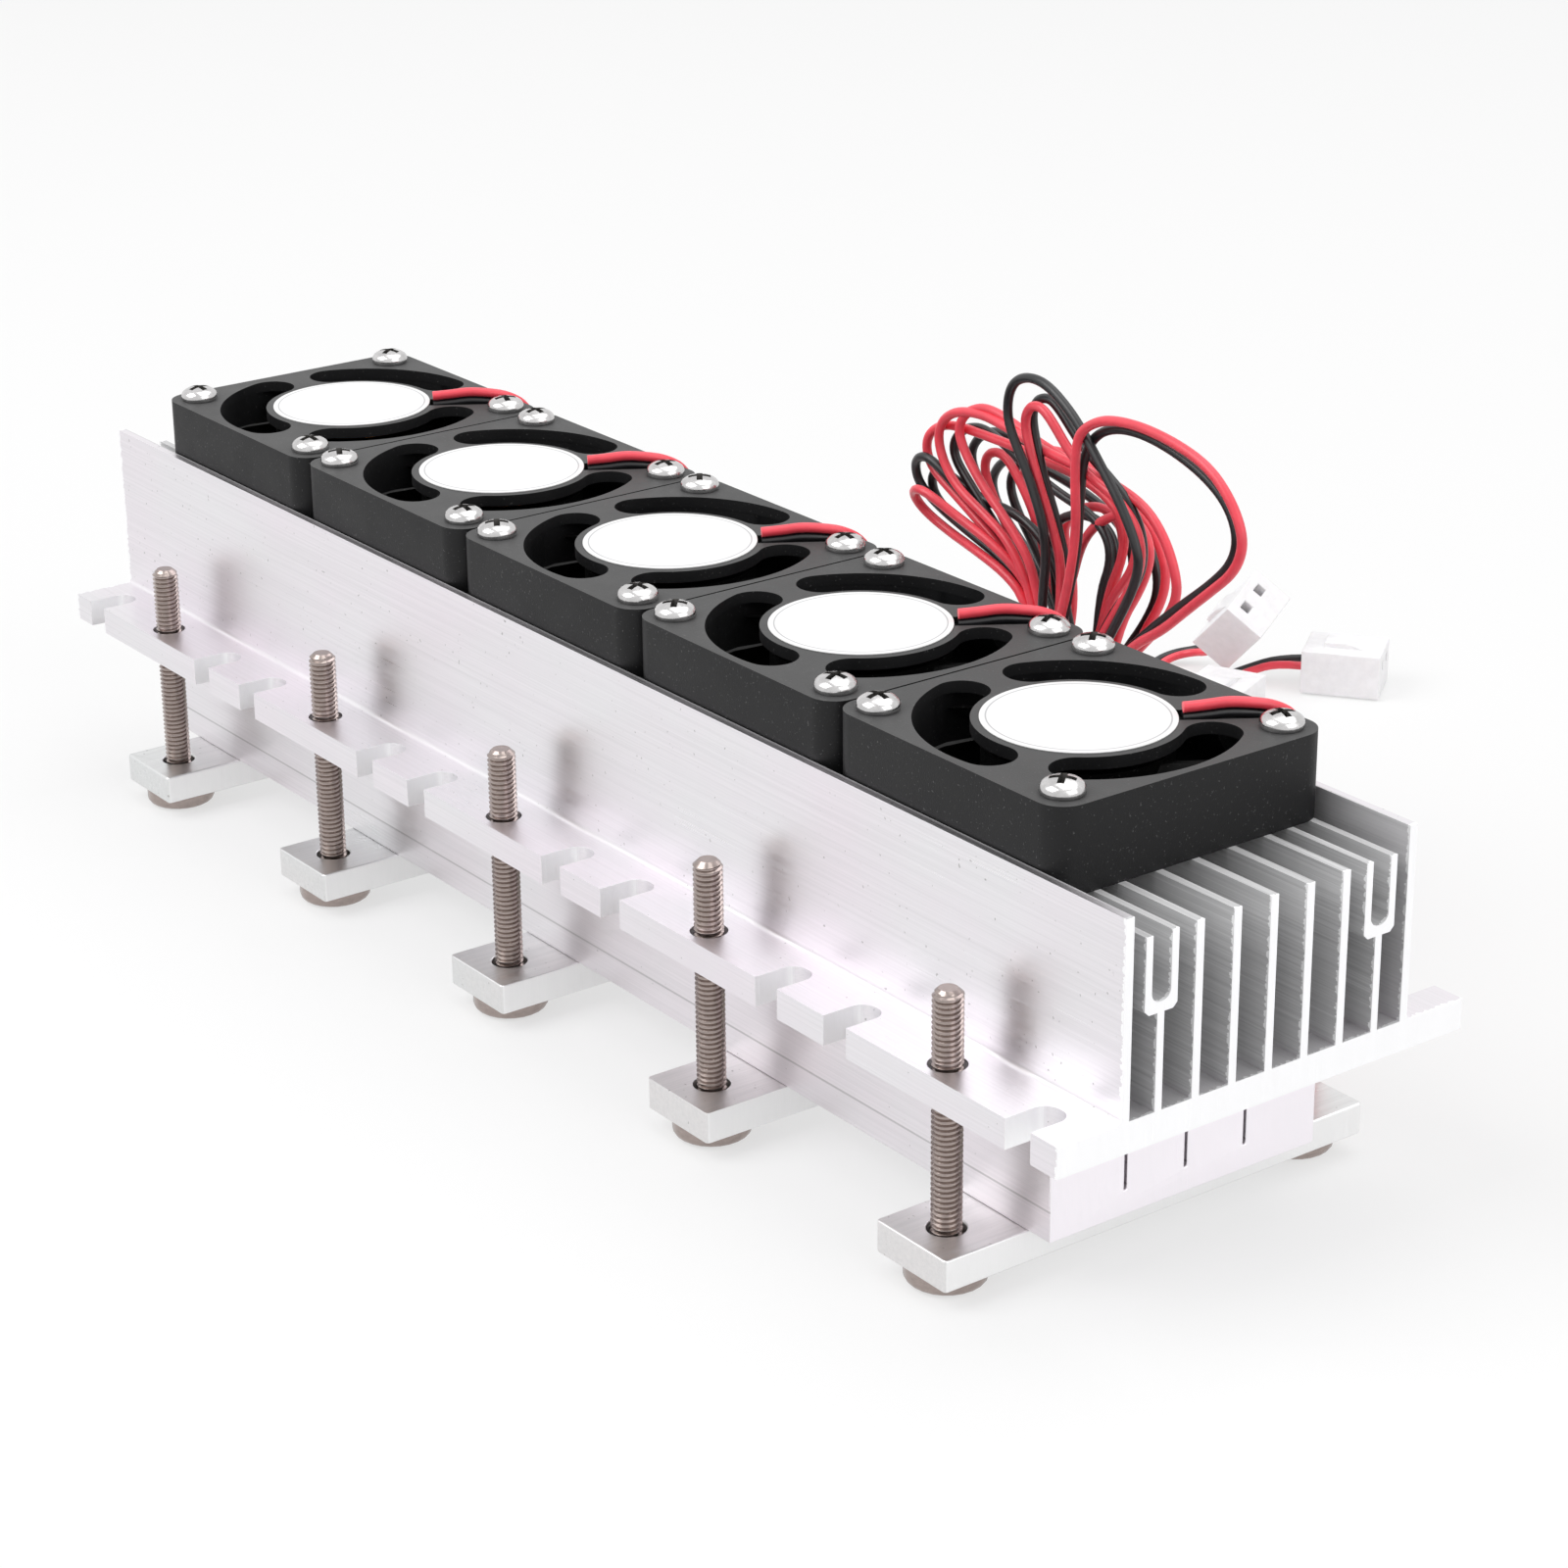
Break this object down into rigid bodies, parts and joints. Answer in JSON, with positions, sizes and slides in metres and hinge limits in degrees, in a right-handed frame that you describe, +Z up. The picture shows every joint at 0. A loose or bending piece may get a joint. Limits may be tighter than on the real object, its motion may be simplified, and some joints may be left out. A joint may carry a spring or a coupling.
{
  "type": "thermoelectric cooling module",
  "caption": "Finned aluminium heatsink with a row of square axial fans on top, a cold block clamped below it over Peltier modules, and red and black leads tied in a hank.",
  "frame": {"origin": "bottom centre of the stack, on the plane through the lowest screw heads", "axes": "+X along the row of fans, +Y towards the side where the leads leave, +Z up through the fans"},
  "size_m": [0.225, 0.181, 0.078],
  "materials": {
    "extruded_aluminium": "brushed mill finish, drawn along the length",
    "bar_aluminium": "satin, sawn edges",
    "clamp_steel": "stainless, rolled thread",
    "screw_steel": "bright plated",
    "ceramic": "fired alumina plates",
    "fan_plastic": "fine moulded texture, satin",
    "impeller_plastic": "satin",
    "winding": "enamelled wire on laminations",
    "sleeve_metal": "sintered bronze",
    "label_film": "white film",
    "lead_insulation": "soft vinyl, one red and one black core",
    "tie_wire": "covered wire tie",
    "connector_nylon": "translucent white nylon"
  },
  "bodies": {
    "stack": {"heatsink": "extruded_aluminium", "cold_block": "extruded_aluminium", "clamp_screws": "clamp_steel", "fan_screws": "screw_steel", "lead_hank": "lead_insulation", "lead_tie": "tie_wire", "peltier_module_1": "ceramic", "clamp_bar_1": "bar_aluminium", "fan_frame_1": "fan_plastic", "stator_1": "winding", "bearing_sleeve_1": "sleeve_metal", "fan_label_1": "label_film", "lead_1": "lead_insulation", "lead_tail_1": "lead_insulation", "connector_1": "connector_nylon", "peltier_module_2": "ceramic", "clamp_bar_2": "bar_aluminium", "fan_frame_2": "fan_plastic", "stator_2": "winding", "bearing_sleeve_2": "sleeve_metal", "fan_label_2": "label_film", "lead_2": "lead_insulation", "lead_tail_2": "lead_insulation", "connector_2": "connector_nylon", "peltier_module_3": "ceramic", "clamp_bar_3": "bar_aluminium", "fan_frame_3": "fan_plastic", "stator_3": "winding", "bearing_sleeve_3": "sleeve_metal", "fan_label_3": "label_film", "lead_3": "lead_insulation", "lead_tail_3": "lead_insulation", "connector_3": "connector_nylon", "peltier_module_4": "ceramic", "clamp_bar_4": "bar_aluminium", "fan_frame_4": "fan_plastic", "stator_4": "winding", "bearing_sleeve_4": "sleeve_metal", "fan_label_4": "label_film", "lead_4": "lead_insulation", "lead_tail_4": "lead_insulation", "connector_4": "connector_nylon", "peltier_module_5": "ceramic", "clamp_bar_5": "bar_aluminium", "fan_frame_5": "fan_plastic", "stator_5": "winding", "bearing_sleeve_5": "sleeve_metal", "fan_label_5": "label_film", "lead_5": "lead_insulation", "lead_tail_5": "lead_insulation", "connector_5": "connector_nylon"},
    "rotor_1": {"impeller_1": "impeller_plastic"},
    "rotor_2": {"impeller_2": "impeller_plastic"},
    "rotor_3": {"impeller_3": "impeller_plastic"},
    "rotor_4": {"impeller_4": "impeller_plastic"},
    "rotor_5": {"impeller_5": "impeller_plastic"}
  },
  "joints": [
    {"name": "fan_spin_1", "type": "hinge", "parent": "stack", "child": "rotor_1", "pos_m": [-0.08, 0, 0.052], "axis": [0, 0, 1], "continuous": true},
    {"name": "fan_spin_2", "type": "hinge", "parent": "stack", "child": "rotor_2", "pos_m": [-0.04, 0, 0.052], "axis": [0, 0, 1], "continuous": true},
    {"name": "fan_spin_3", "type": "hinge", "parent": "stack", "child": "rotor_3", "pos_m": [0, 0, 0.052], "axis": [0, 0, 1], "continuous": true},
    {"name": "fan_spin_4", "type": "hinge", "parent": "stack", "child": "rotor_4", "pos_m": [0.04, 0, 0.052], "axis": [0, 0, 1], "continuous": true},
    {"name": "fan_spin_5", "type": "hinge", "parent": "stack", "child": "rotor_5", "pos_m": [0.08, 0, 0.052], "axis": [0, 0, 1], "continuous": true}
  ]
}
